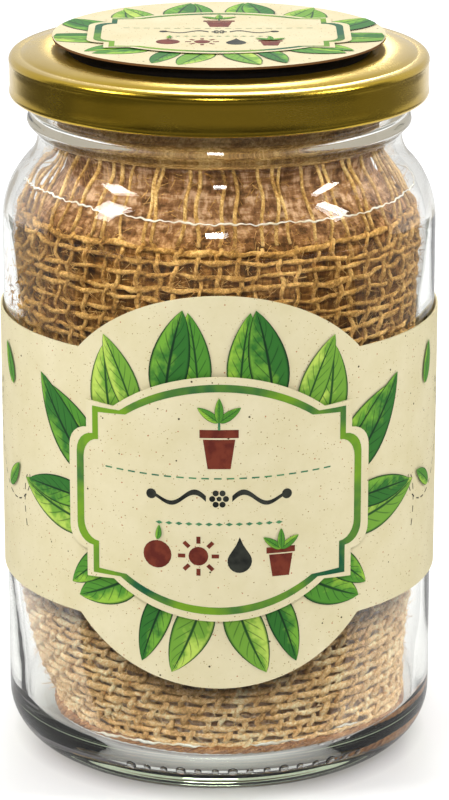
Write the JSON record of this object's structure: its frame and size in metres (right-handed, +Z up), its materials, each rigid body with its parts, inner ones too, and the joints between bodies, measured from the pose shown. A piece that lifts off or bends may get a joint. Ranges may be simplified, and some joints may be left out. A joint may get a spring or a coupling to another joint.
{
  "type": "jar planter",
  "caption": "Round twist-off glass jar lined with an open-weave jute sack for growing herbs, with lug lid, paper sleeve and raised label.",
  "frame": {"origin": "centre of the ring that the jar stands on", "axes": "+Z up along the jar's axis, the label faces -Y, +X to the viewer's right"},
  "size_m": [0.0904, 0.0923, 0.1499],
  "materials": {
    "glass": "clear flint glass, moulded, faint green in the thick heel",
    "gold_lacquer": "gold lacquer on tinplate, satin gloss",
    "compound": "flowed-in sealing compound, matt",
    "foam_black": "black closed-cell foam, matt",
    "printed_board": "recycled board with a leaf print, brown cut edge",
    "kraft_paper": "recycled paper with flecks and a leaf print",
    "glue": "clear paper glue",
    "foam_white": "white foam tape",
    "jute": "open plain-weave jute, hairy",
    "jute_thread": "twisted jute yarn",
    "coir": "pressed coir fibre",
    "sachet_paper": "plain kraft paper",
    "seed": "black matt seed coat"
  },
  "bodies": {
    "jar": {"glass_jar": "glass", "sack_cloth": "jute", "sack_drawn_threads": "jute_thread", "sack_top_hem": "jute", "sack_bottom_seam": "jute_thread", "sack_side_seam": "jute_thread", "coir_disc_1": "coir", "coir_disc_2": "coir", "coir_disc_3": "coir", "seed_sachet": "sachet_paper", "seeds": "seed"},
    "lid_seal": {"lid_gasket": "compound"},
    "lid": {"lid_shell": "gold_lacquer", "lid_card_pad": "foam_black", "lid_card": "printed_board"},
    "sleeve": {"sleeve_band": "kraft_paper", "sleeve_seam_glue": "glue", "front_label": "kraft_paper", "front_label_pads": "foam_white"}
  },
  "joints": [
    {"name": "lid_lift", "type": "slide", "parent": "jar", "child": "lid_seal", "axis": [0, 0, 1], "range_m": [0, 0.12]},
    {"name": "lid_turn", "type": "hinge", "parent": "lid_seal", "child": "lid", "pos_m": [0, 0, 0.1465], "axis": [0, 0, 1], "range_deg": [-44, 0]},
    {"name": "sleeve_slide", "type": "slide", "parent": "jar", "child": "sleeve", "axis": [0, 0, 1], "range_m": [-0.024, 0.128]}
  ]
}
